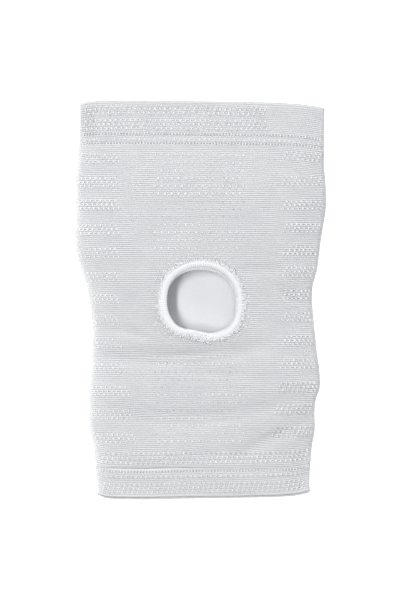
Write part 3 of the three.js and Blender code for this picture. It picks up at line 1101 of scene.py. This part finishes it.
foam_shrink = 0.0014
foam_voxel = 0.004
foam_frames = 20
foam_cap = 0.0013
foam_spokes = 96
foam_steps = 16
foam_foot_share = 0.965
foam_top = dome(-foam_shrink, pad_thick - foam_shrink, pad_rim, foam_spokes, foam_steps)
foam_foot = [pad_ring(foam_foot_share, -foam_shrink, pad_floor, foam_spokes)]
foam = lidded("foam_pad", foam_top + foam_foot)
remesh = foam.modifiers.new("even", "REMESH")
remesh.mode = "VOXEL"
remesh.voxel_size = foam_voxel
settle(foam)
start = np.array([v.co for v in foam.data.vertices])
swelling = foam.modifiers.new("foam", "CLOTH")
swelling.settings.use_pressure = True
swelling.settings.uniform_pressure_force = 4
swelling.settings.effector_weights.gravity = 0
for step in range(1, foam_frames + 1):
    bpy.context.scene.frame_set(step)
settle(foam)
bpy.context.scene.frame_set(1)
grown = np.array([v.co for v in foam.data.vertices]) - start
far = np.linalg.norm(grown, axis=1, keepdims=True)
grown *= np.minimum(1, foam_cap / np.maximum(far, 1e-9))
swollen = start + grown
swollen[:, 2] = np.maximum(swollen[:, 2], pad_floor)
foam.data.vertices.foreach_set("co", swollen.ravel())
finer = foam.modifiers.new("finer", "SUBSURF")
finer.levels = finer.render_levels = 1
settle(foam)
foam.data.shade_smooth()


def cells(tree):
    return tree.node("ShaderNodeTexVoronoi", {}, {"Vector": spot(tree), "Scale": 1400})


foam_finish = cloth("foam", plain((0.66, 0.65, 0.6, 1)), 0.95, cells, 0.0003, 0)
dress(foam, foam_finish, "foam", "pad")

# A thin smooth cloth is drawn over the foam and sewn down round its rim. It is the pale surface
# that shows through the hole.

lining_ease = 0.003
lining_wall = 0.001
lining_gap = 0.0003
lining_spokes = 128
lining_steps = 36
above = dome(lining_ease + lining_wall, pad_thick + lining_gap + lining_wall,
             pad_rim + lining_gap + lining_wall, lining_spokes, lining_steps)
below = dome(lining_ease, pad_thick + lining_gap, pad_rim + lining_gap, lining_spokes, lining_steps)
foot = [
    pad_ring(1, lining_ease + lining_wall, pad_floor, lining_spokes),
    pad_ring(1, lining_ease, pad_floor, lining_spokes),
]
lining = lidded("pad_cloth", above + foot + below[::-1])


def tricot(tree):
    """The fine lengthwise ribs of a warp-knitted cloth."""
    across = parts(tree, spot(tree))[0]
    return (across * 1600).wave() + fuzz(tree) * 0.5


lining_finish = cloth("lining", plain((0.905, 0.91, 0.93, 1)), 0.85, tricot, 0.00006)
dress(lining, lining_finish, "lining_cloth", "pad_lining")

# A plain white floor, soft studio light from the upper left, and the camera straight above.

floor_mesh = bpy.data.meshes.new("floor")
floor_half = 1.5
floor_mesh.from_pydata(
    [(x, y, 0) for x, y in [(-1, -1), (1, -1), (1, 1), (-1, 1)]], [], [(0, 1, 2, 3)]
)
for corner in floor_mesh.vertices:
    corner.co *= floor_half
floor = put("floor", floor_mesh)
floor_paint = bpy.data.materials.new("white_sweep")
floor_paint.use_nodes = True
paint = Tree(floor_paint.node_tree)
white = paint.node(
    "ShaderNodeBsdfPrincipled", {},
    {"Base Color": (0.9, 0.9, 0.9, 1), "Roughness": 0.9, "Specular IOR Level": 0.0,
     "Emission Color": (1, 1, 1, 1), "Emission Strength": 0.7},
)
paint.node("ShaderNodeOutputMaterial", {}, {"Surface": white})
floor_mesh.materials.append(floor_paint)
lamp_aim = np.array([0, 0, 0.02])


def lamp(name, place, size, power):
    """A soft box that faces the knee pad, so many metres long and high."""
    light = bpy.data.lights.new(name, "AREA")
    light.shape = "RECTANGLE"
    light.size, light.size_y = size
    light.energy = power
    box = put(name, light)
    away = unit(np.array(place) - lamp_aim)
    box.location = place
    box.rotation_euler = (np.arccos(away[2]), 0, np.arctan2(away[1], away[0]) + np.pi / 2)


lamp("key", (-1.0, 0.0, 1.75), (1.6, 0.3), 30.5)
lamp("overhead", (0.35, 0.0, 2.0), (0.5, 0.5), 4.9)
lamp("right_fill", (1.5, 0.1, 0.38), (0.7, 0.7), 7.5)
lamp("top_fill", (0.1, 1.5, 0.5), (0.7, 0.7), 9)
lamp("calf_fill", (0.1, -1.5, 0.5), (0.7, 0.7), 2.4)

world = bpy.data.worlds.new("studio")
bpy.context.scene.world = world
world.use_nodes = True
sky = Tree(world.node_tree)
air = sky.node("ShaderNodeBackground", {}, {"Color": (0.97, 0.985, 1, 1), "Strength": 0.17})
sky.node("ShaderNodeOutputWorld", {}, {"Surface": air})
bpy.context.scene.view_settings.view_transform = "Standard"

# The view takes in 601 pixels of 0.6 mm along the knee pad, and its middle is 0.2 mm to the
# right of the knee pad's own and 0.3 mm towards the calf.
lens = bpy.data.cameras.new("camera")
lens.type = "ORTHO"
lens.ortho_scale = 601 * 0.0006
lens.clip_end = 5
camera = put("camera", lens)
camera.location = (0.00018, -0.0003, 1)
bpy.context.scene.camera = camera
